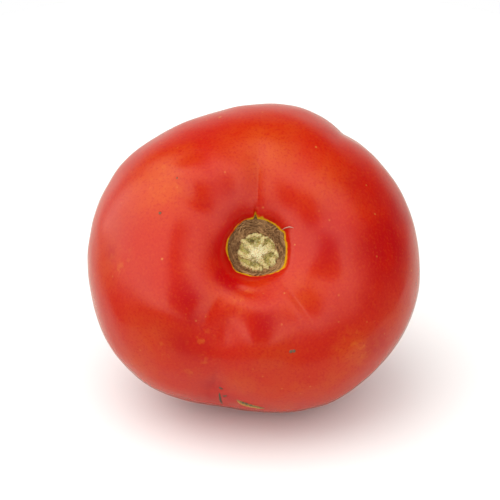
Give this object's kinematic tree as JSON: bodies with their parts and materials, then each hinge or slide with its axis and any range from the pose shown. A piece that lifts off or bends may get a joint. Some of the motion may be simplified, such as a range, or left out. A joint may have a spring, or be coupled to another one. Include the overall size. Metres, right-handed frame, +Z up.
{
  "type": "tomato",
  "caption": "Ripe red tomato lying on its side, slightly lobed and flattened, with a hollow stem end holding the dry scar of its stalk. Rests on a small flat spot.",
  "frame": {"origin": "centre of the bounding box's bottom face, on the surface that the fruit rests on", "axes": "+Z up, +X along the fruit's greatest width, -Y towards the stem end, which looks forward and upward"},
  "size_m": [0.0798, 0.0698, 0.0728],
  "materials": {
    "skin": null,
    "scar": null
  },
  "bodies": {
    "root": {"fruit": "skin", "stem_scar": "scar"}
  },
  "joints": []
}
